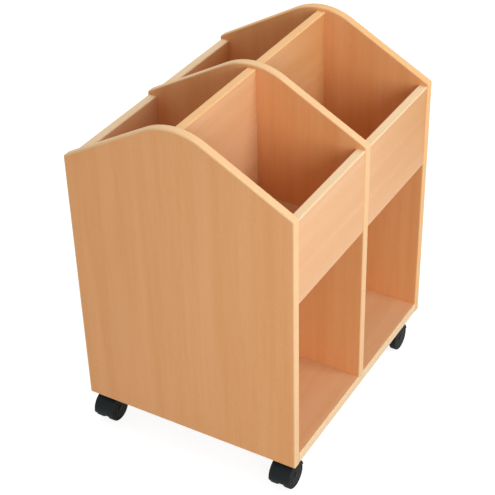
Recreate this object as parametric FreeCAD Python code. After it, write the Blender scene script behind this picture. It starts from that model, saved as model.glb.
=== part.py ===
"""Double-sided browser trolley for picture books.

A cabinet of faced boards on four twin-wheel swivel casters. Three gable panels stand across
the cabinet, joined by a shelf, two dividers, four bin floors and four aprons. The upper half
is four open bins, the lower half four bays that open to the sides.

Frame: +Z up, X across the cabinet, Y along it, front at -Y. The origin lies on the floor
under the middle of the cabinet. All lengths are in millimetres.
"""
import FreeCAD, Part
import math
import os

os.makedirs("parts", exist_ok=True)
Vector = FreeCAD.Vector

# ---- Cabinet ----
cabinet_width = 498.0       # across the gable panels
cabinet_length = 600.0      # over the two end panels
panel_thickness = 19.0      # gable panels
shelf_thickness = 22.0
board_thickness = 19.0      # dividers, bin floors and aprons
shoulder_height = 587.0     # panel foot to where side and slope would meet
slope_angle = 29.0          # fall of the gable's slopes, degrees
crown_radius = 132.0        # round top of the gable
shoulder_radius = 6.0       # rounding between side and slope
apron_drop = 6.0            # apron's top edge below the shoulder
apron_height = 187.0
apron_recess = 2.5          # apron face behind the panels' edges
divider_drop = 8.0          # divider's top edge below the crown

# ---- Edge banding ----
edging_thickness = 3.0
edging_round = 2.8          # rounding of the banded arrises

# ---- Dowels, cam fittings and screws ----
dowel_radius = 4.0
dowel_length = 30.0
double_bore_wall = 2.0      # board left between fixings that enter a gable panel from both sides
dowel_fit = 0.05            # radial clearance of a dowel in its hole
dowel_end_gap = 0.5
cam_radius = 7.5
cam_past_bolt = 3.5         # how far a cam reaches past the bolt's axis
cam_fit = 0.05
cam_setback = 34.0          # joint face to the cam's axis
cam_slot_length = 9.0
cam_slot_width = 1.6
cam_slot_depth = 2.0
bolt_thread_radius = 3.0
bolt_shaft_radius = 2.6
bolt_head_radius = 3.6
bolt_head_length = 3.0
bolt_bore_radius = 4.0      # bore in the board's edge, and through the cam's rim
end_inset = 45.0            # board's corner to the first fixing
fixing_pitch = 32.0         # from a cam to the dowel beside it
shelf_fixing_inset = 110.0  # cabinet side to the shelf's first fixing
confirmat_inset = 60.0      # cabinet side to the outer confirmat screws
confirmat_radius = 3.5
confirmat_length = 50.0
confirmat_head_radius = 5.0
confirmat_head_length = 4.0
screw_fit = 0.05

# ---- Casters ----
caster_height = 74.0        # floor to the underside of the cabinet
caster_side_inset = 34.0    # swivel axis from the cabinet's side
caster_end_inset = 46.0     # swivel axis from the end panel's outer face
caster_trail = 22.0         # swivel axis to axle
wheel_radius = 30.0
wheel_width = 16.0
wheel_rim_round = 3.0
wheel_dish_depth = 1.2      # ring sunk into a wheel's outer face
wheel_dish_outer = 23.0
wheel_dish_inner = 9.0
wheel_gap = 0.8             # wheel to housing web
axle_radius = 3.0
axle_reach = 11.5           # how far the axle enters a wheel
axle_end_gap = 0.5
running_fit = 0.06          # radial clearance of what turns
press_fit = 0.02            # radial clearance of what is pressed in
web_half_width = 6.5        # housing between the wheels
web_floor_gap = 6.0         # web's lowest point above the floor
hood_wheel_gap = 0.8
hood_thickness = 1.5
hood_front_angle = 10.0     # lower edge of the hood at the stem, degrees above the axle
hood_rear_angle = 190.0     # lower edge at the trailing side, from the same line
hood_round = 0.8
boss_top_radius = 10.5
boss_foot_radius = 13.0
plate_side = 42.0
plate_thickness = 2.5
plate_corner_radius = 5.0
plate_hole_spacing = 30.0
plate_hole_radius = 2.4
collar_radius = 7.0
collar_thickness = 1.5
swivel_gap = 0.5            # collar to housing
stem_radius = 4.0
stem_depth = 17.0           # how far the stem enters the housing
ring_groove_radius = 3.3
ring_radius = 5.2
ring_thickness = 1.2
ring_height = 3.0           # ring above the stem's end
ring_space = 0.8            # free space round the ring
ring_opening = 60.0         # gap of the open ring, degrees
plate_screw_radius = 2.0
plate_screw_length = 15.0
plate_screw_head_radius = 3.8
plate_screw_head_length = 2.2

# ---- Cutting ----
past = 1.0                  # how far a cutting or joining solid runs past a face
same = 0.01                 # lengths closer than this are taken as equal

# ---- Places worked out from the sizes above ----
foot = caster_height
face_depth = (panel_thickness - double_bore_wall) / 2 - dowel_end_gap
shelf_top = foot + shelf_thickness
half_width = cabinet_width / 2
half_length = cabinet_length / 2
slope = math.radians(slope_angle)
crown_centre = foot + shoulder_height + half_width * math.tan(slope) - crown_radius / math.cos(slope)
crown_top = crown_centre + crown_radius
divider_top = crown_top - divider_drop
apron_top = foot + shoulder_height - apron_drop
apron_foot = apron_top - apron_height
bin_floor_top = apron_foot + board_thickness
apron_outside = half_width - apron_recess
apron_inside = apron_outside - board_thickness
bays = {
    "front": (-half_length + panel_thickness, -panel_thickness / 2),
    "rear": (panel_thickness / 2, half_length - panel_thickness),
}
sides = {"left": -1, "right": 1}
ends = {"front": -1, "rear": 1}
bay_panels = {
    "front": ("front_end_panel", "middle_panel"),
    "rear": ("middle_panel", "rear_end_panel"),
}

X = Vector(1, 0, 0)
Y = Vector(0, 1, 0)
Z = Vector(0, 0, 1)

boards = {}                 # board name -> solid before drilling
drilled = {}                # board name -> holes
pieces = {}                 # node name -> finished shape
dowels = []
cam_locks = []
cam_bolts = []
confirmat_screws = []
caster_screws = []
stem_rings = []


# ---- Simple solids ----
def box(x0, x1, y0, y1, z0, z1):
    """Box between two corners."""
    return Part.makeBox(x1 - x0, y1 - y0, z1 - z0, Vector(x0, y0, z0))


def rod(radius, start, direction, length):
    """Round bar or bore from a start point."""
    return Part.makeCylinder(radius, length, start, direction)


def join(shapes):
    """One solid of overlapping shapes."""
    return shapes[0].multiFuse(shapes[1:]).removeSplitter()


# ---- Boards and their edge banding ----
def gable_outline(inset, low):
    """Outline of a gable panel in the XZ plane, moved in at the sides and top by inset."""
    shoulder = Vector(half_width - shoulder_radius, 0, 0)
    rise = crown_radius - shoulder_radius - shoulder.x * math.sin(slope)
    shoulder.z = crown_centre + rise / math.cos(slope)
    outward = Vector(math.sin(slope), 0, math.cos(slope))
    turn = (math.pi / 2 - slope) / 2
    between = Vector(math.cos(turn), 0, math.sin(turn))
    small = shoulder_radius - inset
    large = crown_radius - inset
    crown = Vector(0, 0, crown_centre)
    right = [
        Vector(half_width - inset, 0, low),
        shoulder + X * small,
        shoulder + between * small,
        shoulder + outward * small,
        crown + outward * large,
    ]
    left = [Vector(-p.x, 0, p.z) for p in right]
    top = Vector(0, 0, crown_centre + large)
    edges = [
        Part.LineSegment(right[0], right[1]),
        Part.Arc(right[1], right[2], right[3]),
        Part.LineSegment(right[3], right[4]),
        Part.Arc(right[4], top, left[4]),
        Part.LineSegment(left[4], left[3]),
        Part.Arc(left[3], left[2], left[1]),
        Part.LineSegment(left[1], left[0]),
        Part.LineSegment(left[0], right[0]),
    ]
    return Part.Wire([edge.toShape() for edge in edges])


def gable_panel(name, y0, low):
    """Gable panel from y0 on, standing at height low, with banded sides and top."""
    shift = Y * y0
    core = Part.Face(gable_outline(edging_thickness, low)).extrude(Y * panel_thickness)
    whole = Part.Face(gable_outline(0, low)).extrude(Y * panel_thickness)
    arrises = [e for e in whole.Edges if e.BoundBox.YLength < same and e.BoundBox.ZMax > low + same]
    banding = whole.makeFillet(edging_round, arrises).cut(core)
    boards[name] = core.translated(shift)
    pieces[name + "_edging"] = banding.translated(shift)


def banded_board(name, edging_name, whole, core, lowest_arris):
    """Board whose long arrises above a height are rounded and whose rim is banding."""
    arrises = [
        e for e in whole.Edges
        if e.BoundBox.YLength > same and e.BoundBox.ZMin > lowest_arris - same
    ]
    banding = whole.makeFillet(edging_round, arrises).cut(core)
    boards[name] = core
    pieces[edging_name] = banding


def bottom_shelf():
    """Shelf between the end panels, banded along both sides."""
    y1 = half_length - panel_thickness
    whole = box(-half_width, half_width, -y1, y1, foot, shelf_top)
    inner = half_width - edging_thickness
    core = box(-inner, inner, -y1, y1, foot, shelf_top)
    banded_board("bottom_shelf", "bottom_shelf_edgings", whole, core, foot)


def divider(bay):
    """Lengthwise board between two gable panels, banded along its top."""
    y0, y1 = bays[bay]
    half = board_thickness / 2
    whole = box(-half, half, y0, y1, shelf_top, divider_top)
    core = box(-half, half, y0, y1, shelf_top, divider_top - edging_thickness)
    banded_board(f"{bay}_divider", f"{bay}_divider_edging", whole, core, divider_top)


def mirrored_box(side, x_in, x_out, y0, y1, z0, z1):
    """Box whose X range is counted from the middle towards one side."""
    return box(min(side * x_in, side * x_out), max(side * x_in, side * x_out), y0, y1, z0, z1)


def apron(bay, side_name):
    """Side wall of one bin, banded along its top and lower edge."""
    side = sides[side_name]
    y0, y1 = bays[bay]
    rim = edging_thickness
    whole = mirrored_box(side, apron_inside, apron_outside, y0, y1, apron_foot, apron_top)
    core = mirrored_box(side, apron_inside, apron_outside, y0, y1, apron_foot + rim, apron_top - rim)
    name = f"{bay}_{side_name}_apron"
    banded_board(name, name + "_edgings", whole, core, apron_foot)


def bin_floor(bay, side_name):
    """Floor of one bin, between divider and apron."""
    side = sides[side_name]
    y0, y1 = bays[bay]
    x_in = board_thickness / 2
    solid = mirrored_box(side, x_in, apron_inside, y0, y1, apron_foot, bin_floor_top)
    boards[f"{bay}_{side_name}_bin_floor"] = solid


# ---- Fixings ----
def drill(board, hole):
    """Notes a hole that a board gets."""
    drilled.setdefault(board, []).append(hole)


def add_dowel(point, into_face, edge_board, face_board):
    """Dowel across a joint at point, from the edge of one board into the face of another."""
    in_edge = dowel_length - face_depth
    dowels.append(rod(dowel_radius, point - into_face * in_edge, into_face, dowel_length))
    bore = dowel_radius + dowel_fit
    drill(edge_board, rod(bore, point, into_face * -1, in_edge + dowel_end_gap))
    drill(face_board, rod(bore, point, into_face, face_depth + dowel_end_gap))


def cam_lock(centre, towards_face, bored_side, half_thickness):
    """Cam with a crossed slot in its visible end and a mouth for the bolt's head."""
    length = half_thickness + cam_past_bolt
    end = centre + bored_side * half_thickness
    body = rod(cam_radius, end, bored_side * -1, length)
    head_space = bolt_head_length
    mouth = rod(bolt_bore_radius, centre - towards_face * head_space, towards_face, cam_radius * 2)
    across = towards_face.cross(bored_side)
    cuts = [mouth]
    for direction in (towards_face, across):
        other = bored_side.cross(direction)
        corner = end - bored_side * cam_slot_depth
        corner = corner - direction * (cam_slot_length / 2) - other * (cam_slot_width / 2)
        slot = Part.Face(Part.makePolygon([
            corner,
            corner + direction * cam_slot_length,
            corner + direction * cam_slot_length + other * cam_slot_width,
            corner + other * cam_slot_width,
            corner,
        ]))
        cuts.append(slot.extrude(bored_side * (cam_slot_depth + past)))
    return body.cut(cuts)


def cam_bolt(point, into_face):
    """Bolt threaded into a board's face, whose head lies in the cam."""
    thread = rod(bolt_thread_radius, point, into_face, face_depth)
    shaft = rod(bolt_shaft_radius, point - into_face * cam_setback, into_face, cam_setback)
    head = rod(bolt_head_radius, point - into_face * cam_setback, into_face, bolt_head_length)
    return join([thread, shaft, head])


def add_cam(point, into_face, bored_side, half_thickness, edge_board, face_board):
    """Cam fitting across a joint at point, with the cam bored in from one side of the board."""
    centre = point - into_face * cam_setback
    cam_locks.append(cam_lock(centre, into_face, bored_side, half_thickness))
    cam_bolts.append(cam_bolt(point, into_face))
    depth = half_thickness + cam_past_bolt + cam_fit
    drill(edge_board, rod(cam_radius + cam_fit, centre + bored_side * half_thickness, bored_side * -1, depth))
    drill(edge_board, rod(bolt_bore_radius, point, into_face * -1, cam_setback))
    drill(face_board, rod(bolt_thread_radius + screw_fit, point, into_face, face_depth + dowel_end_gap))


def both_ways(distance):
    """The same distance to either side."""
    return (-distance, distance)


def shelf_joints():
    """Shelf to the end panels."""
    outer = half_width - shelf_fixing_inset
    inner = outer - fixing_pitch
    z = foot + shelf_thickness / 2
    for end_name, end in ends.items():
        panel = end_name + "_end_panel"
        y = end * (half_length - panel_thickness)
        for x in both_ways(outer):
            add_cam(Vector(x, y, z), Y * end, Z * -1, shelf_thickness / 2, "bottom_shelf", panel)
        for x in both_ways(inner):
            add_dowel(Vector(x, y, z), Y * end, "bottom_shelf", panel)


def confirmat_screw(x):
    """Long screw from under the shelf into the middle panel."""
    start = Vector(x, 0, foot)
    shank = rod(confirmat_radius, start, Z, confirmat_length)
    head = rod(confirmat_head_radius, start, Z, confirmat_head_length)
    return join([shank, head])


def middle_panel_joint():
    """Middle panel to the shelf: confirmat screws with a dowel beside each outer one."""
    outer = half_width - confirmat_inset
    for x in (-outer, 0, outer):
        start = Vector(x, 0, foot)
        confirmat_screws.append(confirmat_screw(x))
        bore = rod(confirmat_radius + screw_fit, start, Z, confirmat_length + dowel_end_gap)
        drill("bottom_shelf", bore)
        drill("bottom_shelf", rod(confirmat_head_radius + screw_fit, start, Z, confirmat_head_length))
        drill("middle_panel", bore)
    for x in both_ways(outer - fixing_pitch):
        add_dowel(Vector(x, 0, shelf_top), Z * -1, "middle_panel", "bottom_shelf")


def divider_joints(bay):
    """Divider to its two gable panels and to the shelf."""
    name = f"{bay}_divider"
    middle = (shelf_top + divider_top) / 2
    outer = (divider_top - shelf_top) / 2 - end_inset
    inner = outer - fixing_pitch
    for panel, y, way in zip(bay_panels[bay], bays[bay], (-1, 1)):
        for dz in both_ways(outer):
            point = Vector(0, y, middle + dz)
            add_cam(point, Y * way, X * -1, board_thickness / 2, name, panel)
        for dz in both_ways(inner):
            add_dowel(Vector(0, y, middle + dz), Y * way, name, panel)
    y0, y1 = bays[bay]
    for y in (y0 + end_inset, y1 - end_inset):
        add_dowel(Vector(0, y, shelf_top), Z * -1, name, "bottom_shelf")


def floor_joints(bay, side_name):
    """Bin floor to its two gable panels."""
    name = f"{bay}_{side_name}_bin_floor"
    x_in = board_thickness / 2
    centre = sides[side_name] * (x_in + apron_inside) / 2
    reach = (apron_inside - x_in) / 2 - end_inset
    z = apron_foot + board_thickness / 2
    for panel, y, way in zip(bay_panels[bay], bays[bay], (-1, 1)):
        add_cam(Vector(centre, y, z), Y * way, Z * -1, board_thickness / 2, name, panel)
        for dx in both_ways(reach):
            add_dowel(Vector(centre + dx, y, z), Y * way, name, panel)


def apron_joints(bay, side_name):
    """Apron to its two gable panels."""
    name = f"{bay}_{side_name}_apron"
    side = sides[side_name]
    x = side * (apron_outside + apron_inside) / 2
    middle = (bin_floor_top + apron_top) / 2
    reach = (apron_top - bin_floor_top) / 2 - end_inset
    for panel, y, way in zip(bay_panels[bay], bays[bay], (-1, 1)):
        add_cam(Vector(x, y, middle), Y * way, X * -side, board_thickness / 2, name, panel)
        for dz in both_ways(reach):
            add_dowel(Vector(x, y, middle + dz), Y * way, name, panel)


# ---- Casters, built round a swivel axis on the Z axis and trailing towards -Y ----
axle_centre = Vector(0, -caster_trail, wheel_radius)
wheel_inside = web_half_width + wheel_gap
wheel_outside = wheel_inside + wheel_width
hood_inner = wheel_radius + hood_wheel_gap
hood_outer = hood_inner + hood_thickness
plate_foot = foot - plate_thickness
boss_top = plate_foot - collar_thickness - swivel_gap
stem_foot = boss_top - stem_depth


def around_axle(radius, degrees):
    """Point in the YZ plane at an angle above the forward line through the axle."""
    angle = math.radians(degrees)
    return axle_centre + Vector(0, math.cos(angle), math.sin(angle)) * radius


def hood_sector(inner, outer, half):
    """Ring sector over the wheels, from the front edge over the top to the trailing edge."""
    a0, a1 = hood_front_angle, hood_rear_angle
    middle = (a0 + a1) / 2
    edges = [
        Part.Arc(around_axle(outer, a0), around_axle(outer, middle), around_axle(outer, a1)),
        Part.LineSegment(around_axle(outer, a1), around_axle(inner, a1)),
        Part.Arc(around_axle(inner, a1), around_axle(inner, middle), around_axle(inner, a0)),
        Part.LineSegment(around_axle(inner, a0), around_axle(outer, a0)),
    ]
    face = Part.Face(Part.Wire([edge.toShape() for edge in edges]))
    return face.translated(X * -half).extrude(X * (2 * half))


def caster_housing():
    """Moulded housing: hood over both wheels, web between them and boss for the stem."""
    hood = hood_sector(hood_inner, hood_outer, wheel_outside)
    outer_arcs = [
        e for e in hood.Edges
        if e.BoundBox.XLength < same and e.BoundBox.ZMax > axle_centre.z + hood_outer - same
    ]
    hood = hood.makeFillet(hood_round, outer_arcs)
    start = axle_centre - X * web_half_width
    web_radius = wheel_radius - web_floor_gap
    web = rod(web_radius, start, X, 2 * web_half_width)
    web_rim = hood_sector(web_radius - past, hood_inner + hood_thickness / 2, web_half_width)
    boss_foot = stem_foot - ring_height
    boss = Part.makeCone(boss_foot_radius, boss_top_radius, boss_top - boss_foot, Vector(0, 0, boss_foot))
    wheel_space = [
        rod(hood_inner, axle_centre + X * web_half_width, X, wheel_outside),
        rod(hood_inner, axle_centre - X * web_half_width, X * -1, wheel_outside),
    ]
    solid = join([hood, web, web_rim, boss.cut(wheel_space)])
    ring_low = Vector(0, 0, stem_foot - ring_space)
    ring_room = ring_height + ring_thickness + 2 * ring_space
    bores = [
        rod(stem_radius + running_fit, Vector(0, 0, stem_foot), Z, stem_depth + past),
        rod(ring_radius + ring_space, ring_low, Z, ring_room),
        rod(axle_radius + press_fit, start, X, 2 * web_half_width),
    ]
    return solid.cut(bores)


def caster_wheel(side):
    """Wheel with rounded rims, a dished outer face and a blind bore for the axle."""
    r = wheel_radius
    soft = wheel_rim_round
    corner = soft * (1 - math.sqrt(0.5))
    bore = axle_radius + running_fit
    bore_end = wheel_inside + axle_reach + axle_end_gap

    def at(x, radius):
        return Vector(side * x, 0, radius)

    dish = wheel_outside - wheel_dish_depth
    edges = [
        Part.LineSegment(at(wheel_inside, bore), at(wheel_inside, r - soft)),
        Part.Arc(
            at(wheel_inside, r - soft),
            at(wheel_inside + corner, r - corner),
            at(wheel_inside + soft, r),
        ),
        Part.LineSegment(at(wheel_inside + soft, r), at(wheel_outside - soft, r)),
        Part.Arc(
            at(wheel_outside - soft, r),
            at(wheel_outside - corner, r - corner),
            at(wheel_outside, r - soft),
        ),
        Part.LineSegment(at(wheel_outside, r - soft), at(wheel_outside, wheel_dish_outer)),
        Part.LineSegment(at(wheel_outside, wheel_dish_outer), at(dish, wheel_dish_outer - wheel_dish_depth)),
        Part.LineSegment(at(dish, wheel_dish_outer - wheel_dish_depth), at(dish, wheel_dish_inner)),
        Part.LineSegment(at(dish, wheel_dish_inner), at(wheel_outside, wheel_dish_inner - wheel_dish_depth)),
        Part.LineSegment(at(wheel_outside, wheel_dish_inner - wheel_dish_depth), at(wheel_outside, 0)),
        Part.LineSegment(at(wheel_outside, 0), at(bore_end, 0)),
        Part.LineSegment(at(bore_end, 0), at(bore_end, bore)),
        Part.LineSegment(at(bore_end, bore), at(wheel_inside, bore)),
    ]
    profile = Part.Face(Part.Wire([edge.toShape() for edge in edges]))
    return profile.revolve(Vector(0, 0, 0), X, 360).translated(axle_centre)


def caster_axle():
    """Pin pressed through the web, on whose ends the wheels turn."""
    reach = wheel_inside + axle_reach
    return rod(axle_radius, axle_centre - X * reach, X, 2 * reach)


def plate_hole_places():
    """The four screw places of a caster plate, from its centre."""
    half = plate_hole_spacing / 2
    return [Vector(x, y, 0) for x in both_ways(half) for y in both_ways(half)]


def caster_plate():
    """Steel plate with rounded corners, four screw holes and the stem's seat."""
    half = plate_side / 2
    plate = box(-half, half, -half, half, plate_foot, foot)
    upright = [e for e in plate.Edges if e.BoundBox.ZLength > plate_thickness - same]
    plate = plate.makeFillet(plate_corner_radius, upright)
    low = Z * (plate_foot - past)
    through = plate_thickness + 2 * past
    holes = [rod(plate_hole_radius, place + low, Z, through) for place in plate_hole_places()]
    seat = rod(stem_radius + press_fit, low, Z, through)
    return plate.cut(holes + [seat])


def caster_stem():
    """Swivel stem riveted into the plate, with a collar and a groove for its ring."""
    shaft = rod(stem_radius, Vector(0, 0, stem_foot + ring_space), Z, foot - stem_foot - ring_space)
    collar = rod(collar_radius, Vector(0, 0, plate_foot - collar_thickness), Z, collar_thickness)
    stem = join([shaft, collar])
    groove_low = Vector(0, 0, stem_foot + ring_height)
    groove = rod(ring_radius, groove_low, Z, ring_thickness)
    groove = groove.cut(rod(ring_groove_radius, groove_low, Z, ring_thickness))
    return stem.cut(groove)


def stem_ring():
    """Open retaining ring in the stem's groove."""
    low = Vector(0, 0, stem_foot + ring_height)
    ring = rod(ring_radius, low, Z, ring_thickness)
    bore = rod(ring_groove_radius + press_fit, low, Z, ring_thickness)
    wedge = Part.makeCylinder(ring_radius + past, ring_thickness, low, Z, ring_opening)
    return ring.cut([bore, wedge])


def plate_screw():
    """Pan-head screw that holds a caster plate, at the Z axis."""
    head_low = Z * (plate_foot - plate_screw_head_length)
    head = rod(plate_screw_head_radius, head_low, Z, plate_screw_head_length)
    shank = rod(plate_screw_radius, head_low, Z, plate_screw_head_length + plate_screw_length)
    return join([head, shank])


def casters():
    """The four casters at their places, and their screw holes in the shelf."""
    shared = {
        "plate": caster_plate(),
        "stem": caster_stem(),
        "housing": caster_housing(),
        "axle": caster_axle(),
        "left_wheel": caster_wheel(-1),
        "right_wheel": caster_wheel(1),
    }
    ring = stem_ring()
    screw = plate_screw()
    hole_depth = plate_screw_length - plate_thickness + dowel_end_gap
    for end_name, end in ends.items():
        for side_name, side in sides.items():
            x = side * (half_width - caster_side_inset)
            y = end * (half_length - caster_end_inset)
            place = Vector(x, y, 0)
            for part_name, solid in shared.items():
                pieces[f"{end_name}_{side_name}_caster_{part_name}"] = solid.translated(place)
            stem_rings.append(ring.translated(place))
            for hole in plate_hole_places():
                caster_screws.append(screw.translated(place + hole))
                start = place + hole + Z * foot
                drill("bottom_shelf", rod(plate_screw_radius + screw_fit, start, Z, hole_depth))


# ---- The whole trolley ----
def cabinet():
    """All boards, their banding and their joints."""
    gable_panel("front_end_panel", -half_length, foot)
    gable_panel("middle_panel", -panel_thickness / 2, shelf_top)
    gable_panel("rear_end_panel", half_length - panel_thickness, foot)
    bottom_shelf()
    shelf_joints()
    middle_panel_joint()
    for bay in bays:
        divider(bay)
        divider_joints(bay)
        for side_name in sides:
            apron(bay, side_name)
            apron_joints(bay, side_name)
            bin_floor(bay, side_name)
            floor_joints(bay, side_name)


def write_parts():
    """Drills the boards and writes every node to its STEP file."""
    for name, board in boards.items():
        pieces[name] = board.cut(drilled[name])
    groups = {
        "dowels": dowels,
        "cam_locks": cam_locks,
        "cam_bolts": cam_bolts,
        "confirmat_screws": confirmat_screws,
        "caster_screws": caster_screws,
        "stem_retaining_rings": stem_rings,
    }
    for name, solids in groups.items():
        pieces[name] = Part.makeCompound(solids)
    for name, shape in pieces.items():
        shape.exportStep(f"parts/{name}.step")
        print(name, len(shape.Solids), "solids", round(shape.Volume / 1000, 1), "cm3", shape.isValid())


cabinet()
casters()
write_parts()
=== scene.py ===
"""Looks of a double-sided browser trolley for picture books.

The frame holds the cabinet, its fittings and its casters at their real size. This file gives
every piece its finish, models the caster wheels in full and sets up the studio.
Lengths are in metres, +Z up, with the front end panel at -Y and the floor at z = 0.
"""

import math

import bpy
from bpy.props import FloatProperty, FloatVectorProperty, PointerProperty
from mathutils import Matrix, Vector


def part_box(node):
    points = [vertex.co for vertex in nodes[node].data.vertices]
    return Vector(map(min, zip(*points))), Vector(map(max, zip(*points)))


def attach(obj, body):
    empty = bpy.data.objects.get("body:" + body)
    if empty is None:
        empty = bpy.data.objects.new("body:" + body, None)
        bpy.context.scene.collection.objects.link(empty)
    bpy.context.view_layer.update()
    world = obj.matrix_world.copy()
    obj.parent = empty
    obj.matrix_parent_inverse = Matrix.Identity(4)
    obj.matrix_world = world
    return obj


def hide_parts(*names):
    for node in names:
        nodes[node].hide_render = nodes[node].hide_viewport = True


bl_info = {
    "name": "Book Browser Trolley",
    "version": (1, 0, 0),
    "blender": (4, 5, 0),
    "location": "3D View > Sidebar > Trolley",
    "description": "Finishes, caster wheels and studio of a book browser trolley",
    "category": "Object",
}

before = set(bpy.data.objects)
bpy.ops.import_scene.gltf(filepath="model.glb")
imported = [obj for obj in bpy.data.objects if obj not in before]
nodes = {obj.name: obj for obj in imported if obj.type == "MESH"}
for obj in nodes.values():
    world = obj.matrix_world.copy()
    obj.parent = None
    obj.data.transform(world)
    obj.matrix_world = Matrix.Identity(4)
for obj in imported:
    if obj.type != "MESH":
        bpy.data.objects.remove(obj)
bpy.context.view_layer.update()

ENDS = ("front", "rear")
SIDES = ("left", "right")
GABLE_PANELS = ("front_end_panel", "middle_panel", "rear_end_panel")

# How far each layer of the decor swings its paleness, and how strongly the flecks show.
BAND_SWING = 0.34
STREAK_SWING = 0.17
FIBRE_SWING = 0.12
RING_SWING = 0.04
FLECK_STRENGTH = 0.22
# What the deepest and the palest part of a decor make of its tone, and what the fullest painted
# shade makes of it.
DEEPEST = (0.955, 0.905, 0.80)
PALEST = (1.045, 1.095, 1.20)
SHADE_TINT = (0.86, 0.74, 0.53)
# Y and Z from which painted shade darkens the lengthwise decor, and at which it is deepest.
SHADE_FROM = (0.0, 0.38)
SHADE_TO = (0.29, 0.59)

# Fineness of a wheel's mesh, and the angle from which its edges are eased and shaded crisp.
WHEEL_FACETS = 96
RIM_SEGMENTS = 5
ARRIS_SEGMENTS = 2
CRISP_ANGLE = math.radians(35)
# A face looks along X if its normal's X is over this, and nearer than tiny is in the same place.
FACING = 0.9
TINY = 1e-5

# Width of the studio's floor, and how far the camera sees.
FLOOR_WIDTH = 60.0
VIEW_LIMIT = 100.0


# ---- Sizes and colours that a user would change ----
def colour(name, description, default):
    """Colour property in linear light."""
    return FloatVectorProperty(
        name=name, description=description, default=default,
        subtype="COLOR", size=3, min=0.0, max=1.0,
    )


def length(name, description, default):
    """Length property in metres."""
    return FloatProperty(
        name=name, description=description, default=default, unit="LENGTH", precision=4,
    )


class TrolleyBoards(bpy.types.PropertyGroup):
    """Colours and grain of the faced boards and their edge banding."""
    upright: colour("Upright", "Colour of the gable panels", (0.780, 0.380, 0.157))
    # Paler and less saturated than the upright tone, partly as painted sheen on the lit aprons.
    lengthwise: colour("Lengthwise", "Colour of the other boards", (0.715, 0.402, 0.205))
    gable_banding: colour("Gable banding", "Front and middle panel's banding", (0.80, 0.52, 0.28))
    # Paler than the gable banding, as a painted highlight on the apron tops; the shelf's banding
    # shares it.
    highlit_banding: colour("Side banding", "Aprons' and shelf's banding", (0.80, 0.59, 0.365))
    # Deeper than the gable banding, as painted shade on the rear panel's and the dividers'
    # banding.
    shaded_banding: colour("Warm banding", "Rear panel's and dividers' banding", (0.80, 0.475, 0.22))
    fleck: colour("Fleck", "Colour of the short flecks in the grain", (0.36, 0.15, 0.055))
    band_width: length("Band width", "Width of the broad bands of tone", 0.032)
    streak_width: length("Streak width", "Width of the fine streaks", 0.0035)
    fleck_length: length("Fleck length", "Length of the flecks", 0.004)
    fleck_width: length("Fleck width", "Width of the flecks", 0.0009)
    ring_spacing: length("Ring spacing", "Growth rings apart at the sides of a leaf", 0.011)
    ring_pitch: length("Ring pitch", "Growth rings apart up the heart of a leaf", 0.085)
    heart_depth: length("Heart depth", "Rounding of the arches in the figure", 0.024)
    heart_width: length("Heart width", "Half width of the figure in the middle", 0.13)


class TrolleyCasters(bpy.types.PropertyGroup):
    """Colours of the casters and the shape of their wheels."""
    housing: colour("Housing", "Colour of the moulded housings", (0.0085, 0.0125, 0.0145))
    wheel: colour("Wheel", "Colour of the wheels", (0.0075, 0.0082, 0.0073))
    dust: colour("Dust", "Colour of the dust on the treads", (0.060, 0.056, 0.050))
    rim_round: length("Rim rounding", "Rounding of a wheel's rims", 0.0026)
    rim_width: length("Rim width", "Flat rim round a wheel's outer face", 0.0045)
    groove_width: length("Groove width", "Width of the groove inside the rim", 0.0010)
    groove_depth: length("Groove depth", "Depth of the groove inside the rim", 0.0008)
    dish_width: length("Dish width", "Width of the slope from the groove to the hub", 0.0110)
    dish_depth: length("Dish depth", "How far the face sinks towards the hub", 0.0008)
    hub_radius: length("Hub radius", "Radius of the cap over a wheel's bore", 0.0075)
    hub_rise: length("Hub rise", "How far the cap stands up from the dish", 0.0007)
    bore_radius: length("Bore radius", "Radius of a wheel's blind bore", 0.00306)
    bore_depth: length("Bore depth", "Depth of a wheel's blind bore", 0.012)
    arris: length("Arris", "Rounding of a wheel's small edges", 0.00025)


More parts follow.
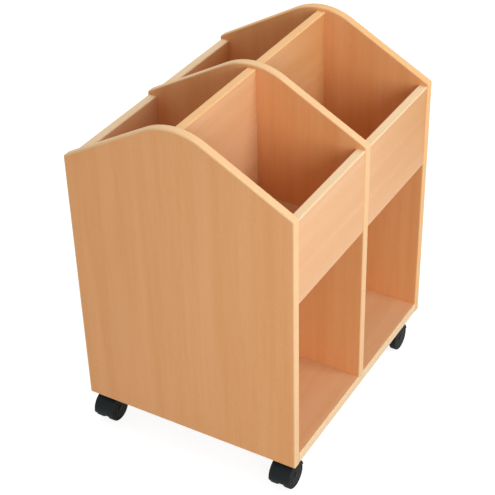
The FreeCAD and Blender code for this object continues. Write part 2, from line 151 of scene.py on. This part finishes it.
class TrolleyStudio(bpy.types.PropertyGroup):
    """Camera and light."""
    azimuth: FloatProperty(
        name="Azimuth", description="Turn of the camera to the right of the front",
        default=math.radians(30.867), subtype="ANGLE",
    )
    elevation: FloatProperty(
        name="Elevation", description="Camera's angle above the horizon",
        default=math.radians(34.682), subtype="ANGLE",
    )
    roll: FloatProperty(
        name="Roll", description="Tilt of the camera round its own axis",
        default=math.radians(-1.630), subtype="ANGLE",
    )
    distance: length("Distance", "Camera to the point it looks at", 2.7865)
    aim: FloatVectorProperty(
        name="Aim", description="Point that the camera looks at",
        default=(-0.0090, -0.0286, 0.3602), subtype="XYZ", unit="LENGTH",
    )
    lens: FloatProperty(name="Lens", description="Focal length in millimetres", default=96.7)
    key: FloatProperty(
        name="Key lamp", description="Watts of the lamp at the right", default=41.0,
    )
    key_from: FloatVectorProperty(
        name="Key direction", description="Where the lamp at the right stands",
        default=(0.816, 0.071, 0.574), subtype="DIRECTION",
    )
    front: FloatProperty(
        name="Front lamp", description="Watts of the low lamp in front", default=30.0,
    )
    front_from: FloatVectorProperty(
        name="Front direction", description="Where the low lamp in front stands",
        default=(0.621, -0.740, 0.259), subtype="DIRECTION",
    )
    back: FloatProperty(
        name="Back lamp", description="Watts of the high lamp behind at the left", default=24.0,
    )
    back_from: FloatVectorProperty(
        name="Back direction", description="Where the high lamp behind at the left stands",
        default=(-0.45, 0.35, 0.82), subtype="DIRECTION",
    )
    lamp_width: length("Lamp width", "Across each round lamp", 1.5)
    lamp_reach: length("Lamp reach", "From each lamp to the middle of the trolley", 3.0)
    lamp_aim: length("Lamp aim", "Height of the point that the lamps shine on", 0.4)
    sky: FloatProperty(
        name="Sky light", description="Strength of the light from all round", default=0.52,
    )
    floor_return: FloatProperty(
        name="Floor return", description="Share of its light that the floor throws back",
        default=0.6,
    )
    floor_glow: FloatProperty(
        name="Floor glow", description="Share of the floor's white that no shadow darkens",
        default=0.86,
    )
    floor_shade: FloatProperty(
        name="Floor shade", description="How much of the floor's white a shadow can take",
        default=0.30,
    )


# ---- Node trees ----
def add_node(tree, kind, inputs=None, **settings):
    """Adds a node, sets its properties, and fills or joins its inputs."""
    made = tree.nodes.new(kind)
    for key, value in settings.items():
        setattr(made, key, value)
    fill(tree, made, inputs or {})
    return made


def fill(tree, node, inputs):
    """Sets or joins the inputs of a node."""
    for key, value in inputs.items():
        if isinstance(value, bpy.types.NodeSocket):
            tree.links.new(value, node.inputs[key])
        else:
            node.inputs[key].default_value = value


def math_node(tree, operation, a, b=0.0):
    """Result of one sum."""
    return add_node(tree, "ShaderNodeMath", {0: a, 1: b}, operation=operation).outputs[0]


def between(tree, value, low, high, to_low=0.0, to_high=1.0):
    """Value stretched from one range to another, and held inside it."""
    inputs = {0: value, 1: low, 2: high, 3: to_low, 4: to_high}
    return add_node(tree, "ShaderNodeMapRange", inputs).outputs[0]


def opaque(value):
    """Colour with its alpha, or a socket as it is."""
    if isinstance(value, bpy.types.NodeSocket):
        return value
    return (*value, 1.0)


def mix_colours(tree, factor, a, b):
    """Blend of two colours."""
    inputs = {0: factor, 6: opaque(a), 7: opaque(b)}
    return add_node(tree, "ShaderNodeMix", inputs, data_type="RGBA").outputs[2]


def brighten(tree, tone, level):
    """Colour times a level."""
    inputs = {0: tone, 1: level}
    return add_node(tree, "ShaderNodeVectorMath", inputs, operation="MULTIPLY").outputs[0]


def tinted(tone, factors):
    """Colour with each of its channels times a factor."""
    return tuple(channel * factor for channel, factor in zip(tone, factors))


def new_material(name):
    """Material, its tree and its Principled shader."""
    material = bpy.data.materials.new(name)
    material.use_nodes = True
    tree = material.node_tree
    return material, tree, tree.nodes["Principled BSDF"]


def object_place(tree):
    """Object coordinates."""
    return add_node(tree, "ShaderNodeTexCoord").outputs["Object"]


def place_along(tree, *axes):
    """Object coordinates on some axes, one socket for each."""
    place = add_node(tree, "ShaderNodeSeparateXYZ", {0: object_place(tree)})
    return [place.outputs[axis] for axis in axes]


def counted(tree, feature):
    """Object coordinates counted in features, given their size along X, Y and Z."""
    inputs = {"Vector": object_place(tree), "Scale": [1 / size for size in feature]}
    return add_node(tree, "ShaderNodeMapping", inputs).outputs[0]


def even(size):
    """Feature of one size all round."""
    return (size, size, size)


def drawn_out(across, along, axis):
    """Feature that is long on one axis."""
    feature = [across] * 3
    feature["XYZ".index(axis)] = along
    return feature


def noise(tree, feature, detail=2.0, roughness=0.5, distortion=0.0):
    """Noise with features of a given size."""
    return add_node(tree, "ShaderNodeTexNoise", {
        "Vector": counted(tree, feature),
        "Scale": 1.0,
        "Detail": detail,
        "Roughness": roughness,
        "Distortion": distortion,
    }).outputs[0]


def swing(tree, value, reach):
    """Noise turned into a value that swings by reach to either side of nought."""
    return between(tree, value, low=0.28, high=0.72, to_low=-reach, to_high=reach)


def sheen(tree, value, smooth, rough):
    """Noise turned into a roughness between two levels."""
    return between(tree, value, low=0.2, high=0.8, to_low=smooth, to_high=rough)


def bump(tree, height, depth):
    """Surface relief of a depth in metres."""
    return add_node(tree, "ShaderNodeBump", {"Height": height, "Distance": depth}).outputs[0]


# ---- Finishes ----
def heart_figure(tree):
    """Growth rings of a flat-cut leaf: arches up its middle, from -1 to 1, gone at its sides."""
    look = bpy.context.scene.trolley_boards
    slow = noise(tree, drawn_out(across=0.16, along=0.55, axis="Z"))
    quick = noise(tree, drawn_out(across=0.030, along=0.22, axis="Z"), detail=3.0)
    sway = swing(tree, slow, reach=0.028)
    tremor = swing(tree, quick, reach=0.5)
    across, up = place_along(tree, "X", "Z")
    off_heart = math_node(tree, "ADD", across, sway)
    off_squared = math_node(tree, "MULTIPLY", off_heart, off_heart)
    squared = math_node(tree, "ADD", off_squared, look.heart_depth ** 2)
    sideways = math_node(tree, "DIVIDE", math_node(tree, "SQRT", squared), look.ring_spacing)
    upwards = math_node(tree, "DIVIDE", up, look.ring_pitch)
    turns = math_node(tree, "ADD", math_node(tree, "ADD", sideways, upwards), tremor)
    rings = math_node(tree, "SINE", math_node(tree, "MULTIPLY", turns, math.tau))
    aside = math_node(tree, "ABSOLUTE", off_heart)
    fading = 0.3 * look.heart_width
    near_heart = between(tree, aside, fading, look.heart_width, to_low=1.0, to_high=0.0)
    return math_node(tree, "MULTIPLY", rings, near_heart)


def ray_flecks(tree, axis):
    """Short dark flecks along the grain, in loose clusters: one on a fleck, else nought."""
    look = bpy.context.scene.trolley_boards
    cell = drawn_out(2.4 * look.fleck_width, 1.9 * look.fleck_length, axis)
    cells = add_node(tree, "ShaderNodeTexVoronoi", {"Vector": counted(tree, cell), "Scale": 1.0})
    off_middle = cells.outputs["Distance"]
    spots = between(tree, off_middle, low=0.12, high=0.30, to_low=1.0, to_high=0.0)
    clusters = noise(tree, drawn_out(across=0.012, along=0.06, axis=axis), detail=3.0)
    shown = between(tree, clusters, low=0.35, high=0.60, to_low=0.35)
    return math_node(tree, "MULTIPLY", spots, shown)


def painted_shade_share(tree):
    """How much painted shade darkens the lengthwise decor, up to one at the top of the rear end.
    """
    ways = zip(place_along(tree, "Y", "Z"), SHADE_FROM, SHADE_TO)
    rearward, upward = (between(tree, place, low, high) for place, low, high in ways)
    return math_node(tree, "MULTIPLY", rearward, upward)


def beech_decor(name, axis, tone, figured=False):
    """Satin beech decor: broad bands of tone, fine streaks and short flecks along the grain."""
    look = bpy.context.scene.trolley_boards
    material, tree, principled = new_material(name)
    broad = look.band_width
    fine = look.streak_width
    bands = noise(tree, drawn_out(broad, 20 * broad, axis), distortion=0.2)
    streaks = noise(tree, drawn_out(fine, 40 * fine, axis), detail=3.0, roughness=0.6)
    fibres = noise(tree, drawn_out(0.22 * fine, 8 * fine, axis))
    flecks = ray_flecks(tree, axis)

    paleness = math_node(tree, "ADD", swing(tree, bands, BAND_SWING), 0.5)
    paleness = math_node(tree, "ADD", paleness, swing(tree, streaks, STREAK_SWING))
    paleness = math_node(tree, "ADD", paleness, swing(tree, fibres, FIBRE_SWING))
    deep = tinted(tone, DEEPEST)
    pale = tinted(tone, PALEST)
    if figured:
        rings = math_node(tree, "MULTIPLY", heart_figure(tree), RING_SWING)
        paleness = math_node(tree, "ADD", paleness, rings)
    else:
        # Painted shade: the decor grows darker and deeper towards the top of the rear end.
        share = painted_shade_share(tree)
        deep = mix_colours(tree, share, deep, tinted(deep, SHADE_TINT))
        pale = mix_colours(tree, share, pale, tinted(pale, SHADE_TINT))
    base = mix_colours(tree, paleness, deep, pale)
    shown_flecks = math_node(tree, "MULTIPLY", flecks, FLECK_STRENGTH)
    fill(tree, principled, {
        "Base Color": mix_colours(tree, shown_flecks, base, tuple(look.fleck)),
        "Roughness": sheen(tree, streaks, smooth=0.42, rough=0.52),
        "Specular IOR Level": 0.22,
        "Normal": bump(tree, math_node(tree, "SUBTRACT", streaks, flecks), depth=0.00005),
    })
    return material


def edge_banding(name, feature, tone):
    """Pale edge banding with fine lines along its run, given the size of one line."""
    material, tree, principled = new_material(name)
    lines = noise(tree, feature, roughness=0.6)
    patches = noise(tree, even(0.05), detail=1.0)
    deep = tinted(tone, (1.0, 0.97, 0.93))
    base = mix_colours(tree, between(tree, patches, low=0.35, high=0.65), deep, tone)
    level = math_node(tree, "ADD", swing(tree, lines, reach=0.035), 1.0)
    fill(tree, principled, {
        "Base Color": brighten(tree, base, level),
        "Roughness": sheen(tree, lines, smooth=0.44, rough=0.54),
        "Specular IOR Level": 0.14,
        "Normal": bump(tree, lines, depth=0.00003),
    })
    return material


def plain_wood(name):
    """Pressed beech of the dowels, ribbed along."""
    material, tree, principled = new_material(name)
    dark = (0.55, 0.36, 0.18)
    light = (0.70, 0.50, 0.28)
    ribs = drawn_out(across=0.0012, along=0.02, axis="Y")
    grain = noise(tree, ribs, detail=3.0, roughness=0.6)
    fill(tree, principled, {
        "Base Color": mix_colours(tree, grain, dark, light),
        "Roughness": 0.7,
        "Normal": bump(tree, grain, depth=0.0002),
    })
    return material


def bright_metal(name, dark, light, mark, roughness):
    """Plated or turned metal with fine marks."""
    material, tree, principled = new_material(name)
    marks = noise(tree, even(mark), detail=4.0, roughness=0.6)
    fill(tree, principled, {
        "Base Color": mix_colours(tree, marks, dark, light),
        "Metallic": 1.0,
        "Roughness": sheen(tree, marks, smooth=roughness - 0.07, rough=roughness + 0.09),
        "Normal": bump(tree, marks, depth=0.00004),
    })
    return material


def black_paint(name):
    """Satin black paint over pressed steel."""
    material, tree, principled = new_material(name)
    dark = (0.012, 0.012, 0.013)
    light = (0.022, 0.022, 0.024)
    peel = noise(tree, even(0.0016), detail=3.0)
    fill(tree, principled, {
        "Base Color": mix_colours(tree, peel, dark, light),
        "Roughness": between(tree, peel, low=0.25, high=0.75, to_low=0.34, to_high=0.46),
        "Normal": bump(tree, peel, depth=0.00005),
    })
    return material


def moulded_nylon(name, tone):
    """Moulded black nylon with a fine spark-eroded grain."""
    material, tree, principled = new_material(name)
    grain = noise(tree, even(0.0006), detail=3.0, roughness=0.6)
    clouds = noise(tree, even(0.012))
    dark = tinted(tone, even(0.8))
    light = tinted(tone, even(1.25))
    fill(tree, principled, {
        "Base Color": mix_colours(tree, clouds, dark, light),
        "Roughness": between(tree, clouds, low=0.3, high=0.7, to_low=0.42, to_high=0.55),
        "Specular IOR Level": 0.14,
        "Normal": bump(tree, grain, depth=0.00004),
    })
    return material


def wheel_nylon(name):
    """Black nylon wheel: clean on its face, scuffed and dusty on its tread."""
    look = bpy.context.scene.trolley_casters
    material, tree, principled = new_material(name)
    grain = noise(tree, even(0.0007), detail=3.0, roughness=0.6)
    scuffs = noise(tree, even(0.004), detail=4.0, roughness=0.65)
    tread = add_node(tree, "ShaderNodeAttribute", attribute_name="tread").outputs["Fac"]
    dustiness = between(tree, scuffs, low=0.40, high=0.70, to_low=0.15, to_high=0.75)
    dust = math_node(tree, "MULTIPLY", tread, dustiness)
    relief = math_node(tree, "ADD", grain, math_node(tree, "MULTIPLY", tread, scuffs))
    fill(tree, principled, {
        "Base Color": mix_colours(tree, dust, tuple(look.wheel), tuple(look.dust)),
        "Roughness": between(tree, dust, low=0.0, high=0.6, to_low=0.42, to_high=0.68),
        "Specular IOR Level": 0.035,
        "Normal": bump(tree, relief, depth=0.00006),
    })
    return material


def dress(node_name, material):
    """Gives a piece of the frame its finish."""
    piece = nodes[node_name]
    piece.data.materials.clear()
    piece.data.materials.append(material)


# ---- Modelling ----
def start_clean():
    """Nothing selected and nothing active."""
    bpy.ops.object.select_all(action="DESELECT")
    bpy.context.view_layer.objects.active = None


def start_on(piece):
    """Only this piece selected and active."""
    start_clean()
    piece.select_set(True)
    bpy.context.view_layer.objects.active = piece


def settle():
    """Moves the active piece's place and turn into its mesh."""
    bpy.ops.object.transform_apply(location=True, rotation=True, scale=True)


def pick_faces(piece, wanted):
    """Selects, in edit mode, the faces that a test picks."""
    bpy.ops.mesh.select_mode(type="FACE")
    bpy.ops.mesh.select_all(action="DESELECT")
    bpy.ops.object.mode_set(mode="OBJECT")
    for face in piece.data.polygons:
        face.select = wanted(face)
    bpy.ops.object.mode_set(mode="EDIT")


def pick_edges(piece, wanted):
    """Selects, in edit mode, the edges that a test of their two ends picks."""
    bpy.ops.mesh.select_mode(type="EDGE")
    bpy.ops.mesh.select_all(action="DESELECT")
    bpy.ops.object.mode_set(mode="OBJECT")
    points = piece.data.vertices
    for edge in piece.data.edges:
        edge.select = wanted(*(points[i].co for i in edge.vertices))
    bpy.ops.object.mode_set(mode="EDIT")


def pick_cap(piece, side):
    """Selects the one face that closes the wheel towards +X or -X."""
    pick_faces(
        piece, lambda face: face.normal.x * side > FACING and off_axle(face.center) < TINY
    )


def pick_ring(piece, inside, outside):
    """Selects the outer faces whose middles lie between two radii."""
    pick_faces(
        piece, lambda face: face.normal.x > FACING and inside < off_axle(face.center) < outside
    )


def off_axle(point):
    """Distance of a point from the wheel's axle, which lies along X."""
    return math.hypot(point.y, point.z)


def push(distance):
    """Pushes the selected faces along X and draws walls behind them."""
    bpy.ops.mesh.extrude_region_move(TRANSFORM_OT_translate={"value": (distance, 0, 0)})


def model_wheel(look, radius, width):
    """Right-hand wheel round the origin, with its outer face towards +X."""
    start_clean()
    bpy.ops.mesh.primitive_cylinder_add(
        vertices=WHEEL_FACETS, radius=radius, depth=width, rotation=(0, math.pi / 2, 0)
    )
    wheel = bpy.context.object
    wheel.name = "wheel_pattern"
    settle()
    bpy.ops.object.mode_set(mode="EDIT")
    pick_edges(wheel, lambda a, b: abs(a.x - b.x) < TINY)
    bpy.ops.mesh.bevel(offset=look.rim_round, segments=RIM_SEGMENTS)
    face_radius = radius - look.rim_round
    shape_outer_face(wheel, look, face_radius)
    sink_bore(wheel, look, face_radius)
    bpy.ops.object.mode_set(mode="OBJECT")
    ease_edges(wheel, look.arris)
    mark_tread(wheel, face_radius, radius)
    return wheel


def shape_outer_face(wheel, look, face_radius):
    """Flat rim, sunk groove, shallow dish and raised hub cap."""
    groove_outside = face_radius - look.rim_width
    groove_inside = groove_outside - look.groove_width
    pick_cap(wheel, 1)
    bpy.ops.mesh.inset(thickness=look.rim_width)
    bpy.ops.mesh.inset(thickness=look.groove_width)
    bpy.ops.mesh.inset(thickness=look.dish_width)
    bpy.ops.transform.translate(value=(-look.dish_depth, 0, 0))
    bpy.ops.mesh.inset(thickness=groove_inside - look.dish_width - look.hub_radius)
    push(look.hub_rise)
    pick_ring(wheel, groove_inside, groove_outside)
    push(-look.groove_depth)


def sink_bore(wheel, look, face_radius):
    """Blind bore for the axle in the inner face."""
    pick_cap(wheel, -1)
    bpy.ops.mesh.inset(thickness=face_radius - look.bore_radius)
    push(look.bore_depth)


def ease_edges(piece, width):
    """Small rounding on every crisp edge, and smooth shading between them."""
    start_on(piece)
    easing = piece.modifiers.new("easing", "BEVEL")
    easing.width = width
    easing.segments = ARRIS_SEGMENTS
    easing.limit_method = "ANGLE"
    easing.angle_limit = CRISP_ANGLE
    bpy.ops.object.modifier_apply(modifier=easing.name)
    bpy.ops.object.shade_smooth_by_angle(angle=CRISP_ANGLE)


def mark_tread(wheel, inside, outside):
    """Point attribute that rises from nought on the faces to one on the tread."""
    tread = wheel.data.attributes.new("tread", "FLOAT", "POINT")
    for point, mark in zip(wheel.data.vertices, tread.data):
        share = (off_axle(point.co) - inside) / (outside - inside)
        mark.value = min(max(share, 0.0), 1.0)


def copy_wheel(pattern, name, middle, hand):
    """Copy of the wheel with its own mesh, turned round for the left hand."""
    start_on(pattern)
    bpy.ops.object.duplicate()
    wheel = bpy.context.object
    wheel.name = name
    wheel.location = middle
    wheel.rotation_euler.z = 0.0 if hand == "right" else math.pi
    settle()
    return wheel


# ---- Pieces ----
class TROLLEY_OT_gable_panels(bpy.types.Operator):
    """Finish the three gable panels with upright beech decor"""
    bl_idname = "trolley.gable_panels"
    bl_label = "Gable Panels"

    def execute(self, context):
        tone = tuple(context.scene.trolley_boards.upright)
        finish = beech_decor("beech_upright", "Z", tone, figured=True)
        for name in GABLE_PANELS:
            dress(name, finish)
        return {"FINISHED"}


class TROLLEY_OT_lengthwise_boards(bpy.types.Operator):
    """Finish the dividers, aprons, bin floors and shelf with lengthwise beech decor"""
    bl_idname = "trolley.lengthwise_boards"
    bl_label = "Lengthwise Boards"

    def execute(self, context):
        tone = tuple(context.scene.trolley_boards.lengthwise)
        finish = beech_decor("beech_lengthwise", "Y", tone)
        dress("bottom_shelf", finish)
        for end in ENDS:
            dress(f"{end}_divider", finish)
            for side in SIDES:
                dress(f"{end}_{side}_apron", finish)
                dress(f"{end}_{side}_bin_floor", finish)
        return {"FINISHED"}


class TROLLEY_OT_banding(bpy.types.Operator):
    """Finish the pale edge banding of all boards"""
    bl_idname = "trolley.banding"
    bl_label = "Edge Banding"

    def execute(self, context):
        look = context.scene.trolley_boards
        line = look.streak_width / 2
        run = 0.2
        along = drawn_out(line, run, "Y")
        across = (run, line, run)
        # Painted highlight: the aprons' and the shelf's banding are paler than the gables'.
        side_edge = edge_banding("highlit_banding", along, tuple(look.highlit_banding))
        # Painted shade: the dividers' and the rear panel's banding are deeper than the front
        # gables'.
        top_edge = edge_banding("divider_banding", along, tuple(look.shaded_banding))
        gable = edge_banding("gable_banding", across, tuple(look.gable_banding))
        rear_gable = edge_banding("rear_banding", across, tuple(look.shaded_banding))
        dress("front_end_panel_edging", gable)
        dress("middle_panel_edging", gable)
        dress("rear_end_panel_edging", rear_gable)
        dress("bottom_shelf_edgings", side_edge)
        for end in ENDS:
            dress(f"{end}_divider_edging", top_edge)
            for side in SIDES:
                dress(f"{end}_{side}_apron_edgings", side_edge)
        return {"FINISHED"}


class TROLLEY_OT_fittings(bpy.types.Operator):
    """Finish the dowels, cam fittings and screws"""
    bl_idname = "trolley.fittings"
    bl_label = "Fittings"

    def execute(self, context):
        dark = (0.48, 0.49, 0.50)
        light = (0.62, 0.63, 0.64)
        zinc = bright_metal("zinc_plating", dark, light, mark=0.002, roughness=0.36)
        dress("dowels", plain_wood("dowel_beech"))
        for name in ("cam_locks", "cam_bolts", "confirmat_screws", "caster_screws"):
            dress(name, zinc)
        return {"FINISHED"}


class TROLLEY_OT_caster_metal(bpy.types.Operator):
    """Finish the casters' plates, stems, axles and retaining rings"""
    bl_idname = "trolley.caster_metal"
    bl_label = "Caster Metal"

    def execute(self, context):
        dark = (0.40, 0.41, 0.42)
        light = (0.55, 0.56, 0.58)
        steel = bright_metal("bright_steel", dark, light, mark=0.0015, roughness=0.30)
        paint = black_paint("black_paint")
        dress("stem_retaining_rings", steel)
        for end in ENDS:
            for side in SIDES:
                dress(f"{end}_{side}_caster_plate", paint)
                dress(f"{end}_{side}_caster_stem", steel)
                dress(f"{end}_{side}_caster_axle", steel)
        return {"FINISHED"}


class TROLLEY_OT_caster_housings(bpy.types.Operator):
    """Finish the moulded caster housings"""
    bl_idname = "trolley.caster_housings"
    bl_label = "Caster Housings"

    def execute(self, context):
        tone = tuple(context.scene.trolley_casters.housing)
        finish = moulded_nylon("moulded_nylon", tone)
        for end in ENDS:
            for side in SIDES:
                dress(f"{end}_{side}_caster_housing", finish)
        return {"FINISHED"}


class TROLLEY_OT_caster_wheels(bpy.types.Operator):
    """Model the eight wheels, two to a caster"""
    bl_idname = "trolley.caster_wheels"
    bl_label = "Caster Wheels"

    def execute(self, context):
        low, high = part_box("front_left_caster_right_wheel")
        look = context.scene.trolley_casters
        pattern = model_wheel(look, radius=(high.z - low.z) / 2, width=high.x - low.x)
        pattern.data.materials.append(wheel_nylon("wheel_nylon"))
        for end in ENDS:
            for side in SIDES:
                for hand in SIDES:
                    self.fit_wheel(pattern, f"{end}_{side}_caster_{hand}_wheel", hand)
        bpy.data.objects.remove(pattern)
        return {"FINISHED"}

    def fit_wheel(self, pattern, node, hand):
        """One wheel in the place of its plain one."""
        low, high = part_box(node)
        wheel = copy_wheel(pattern, node + "_moulding", (low + high) / 2, hand)
        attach(wheel, node + "_body")
        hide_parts(node)


# ---- Studio ----
def floor_material(look):
    """White floor that keeps a soft shadow, and throws back only a part of its light."""
    material = bpy.data.materials.new("studio_floor")
    material.use_nodes = True
    tree = material.node_tree
    tree.nodes.clear()
    shade = opaque(even(look.floor_shade))
    shaded = add_node(tree, "ShaderNodeBsdfDiffuse", {"Color": shade})
    glow = add_node(tree, "ShaderNodeEmission", {"Strength": look.floor_glow})
    shown = add_node(tree, "ShaderNodeAddShader", {0: shaded.outputs[0], 1: glow.outputs[0]})
    returned = opaque(even(look.floor_return))
    lit = add_node(tree, "ShaderNodeBsdfDiffuse", {"Color": returned})
    inputs = {0: seen_directly(tree), 1: lit.outputs[0], 2: shown.outputs[0]}
    surface = add_node(tree, "ShaderNodeMixShader", inputs)
    add_node(tree, "ShaderNodeOutputMaterial", {"Surface": surface.outputs[0]})
    return material


def seen_directly(tree):
    """One for what the camera sees straight, in a gloss or through glass, and else nought."""
    path = add_node(tree, "ShaderNodeLightPath").outputs
    either = math_node(tree, "MAXIMUM", path["Is Camera Ray"], path["Is Glossy Ray"])
    return math_node(tree, "MAXIMUM", either, path["Is Transmission Ray"])


def studio_world(strength):
    """White surroundings that light the trolley evenly at a lower strength."""
    world = bpy.data.worlds.new("studio")
    world.use_nodes = True
    tree = world.node_tree
    tree.nodes.clear()
    level = between(tree, seen_directly(tree), low=0.0, high=1.0, to_low=strength)
    inputs = {"Color": opaque(even(1.0)), "Strength": level}
    background = add_node(tree, "ShaderNodeBackground", inputs)
    add_node(tree, "ShaderNodeOutputWorld", {"Surface": background.outputs[0]})
    return world


class TROLLEY_OT_studio(bpy.types.Operator):
    """Set up the floor, the light and the camera"""
    bl_idname = "trolley.studio"
    bl_label = "Studio"

    def execute(self, context):
        look = context.scene.trolley_studio
        self.add_floor(context, look)
        context.scene.world = studio_world(look.sky)
        self.add_lamp(context, look, "key_lamp", look.key, look.key_from)
        self.add_lamp(context, look, "front_lamp", look.front, look.front_from)
        self.add_lamp(context, look, "back_lamp", look.back, look.back_from)
        self.add_camera(context, look)
        context.scene.view_settings.view_transform = "Standard"
        return {"FINISHED"}

    def add_floor(self, context, look):
        """Floor that reaches to the horizon."""
        start_clean()
        bpy.ops.mesh.primitive_plane_add(size=FLOOR_WIDTH)
        floor = context.object
        floor.name = "studio_floor"
        floor.data.materials.append(floor_material(look))

    def add_lamp(self, context, look, name, watts, direction):
        """Round soft lamp that shines on the middle of the trolley."""
        toward = Vector(direction).normalized()
        start_clean()
        middle = Vector((0, 0, look.lamp_aim))
        bpy.ops.object.light_add(type="AREA", location=middle + toward * look.lamp_reach)
        lamp = context.object
        lamp.name = name
        lamp.data.shape = "DISK"
        lamp.data.size = look.lamp_width
        lamp.data.energy = watts
        lamp.rotation_euler = toward.to_track_quat("Z", "Y").to_euler()

    def add_camera(self, context, look):
        """Camera at its azimuth, elevation and distance from the point it looks at."""
        flat = math.cos(look.elevation)
        back = Vector((
            math.sin(look.azimuth) * flat,
            -math.cos(look.azimuth) * flat,
            math.sin(look.elevation),
        ))
        start_clean()
        bpy.ops.object.camera_add(location=Vector(look.aim) + back * look.distance)
        camera = context.object
        camera.name = "camera"
        camera.data.lens = look.lens
        camera.data.clip_end = VIEW_LIMIT
        turn = back.to_track_quat("Z", "Y").to_matrix()
        camera.rotation_euler = (turn @ Matrix.Rotation(look.roll, 3, "Z")).to_euler()
        context.scene.camera = camera


# ---- Add-on ----
SETTINGS = {
    "trolley_boards": TrolleyBoards,
    "trolley_casters": TrolleyCasters,
    "trolley_studio": TrolleyStudio,
}
OPERATORS = (
    TROLLEY_OT_gable_panels,
    TROLLEY_OT_lengthwise_boards,
    TROLLEY_OT_banding,
    TROLLEY_OT_fittings,
    TROLLEY_OT_caster_metal,
    TROLLEY_OT_caster_housings,
    TROLLEY_OT_caster_wheels,
    TROLLEY_OT_studio,
)


class TROLLEY_PT_tools(bpy.types.Panel):
    """Lists the steps and their settings"""
    bl_idname = "TROLLEY_PT_tools"
    bl_label = "Book Browser Trolley"
    bl_space_type = "VIEW_3D"
    bl_region_type = "UI"
    bl_category = "Trolley"

    def draw(self, context):
        for group_name in SETTINGS:
            group = getattr(context.scene, group_name)
            box = self.layout.box()
            for key in group.__annotations__:
                box.prop(group, key)
        for operator in OPERATORS:
            self.layout.operator(operator.bl_idname)


def register():
    """Makes the settings, operators and panel known."""
    for name, group in SETTINGS.items():
        bpy.utils.register_class(group)
        setattr(bpy.types.Scene, name, PointerProperty(type=group))
    for cls in (*OPERATORS, TROLLEY_PT_tools):
        bpy.utils.register_class(cls)


def unregister():
    """Takes them away again."""
    for cls in (TROLLEY_PT_tools, *reversed(OPERATORS)):
        bpy.utils.unregister_class(cls)
    for name, group in SETTINGS.items():
        delattr(bpy.types.Scene, name)
        bpy.utils.unregister_class(group)


def main():
    """Dresses the trolley step by step."""
    register()
    for operator in OPERATORS:
        group, step = operator.bl_idname.split(".")
        getattr(getattr(bpy.ops, group), step)()


if __name__ == "__main__":
    main()
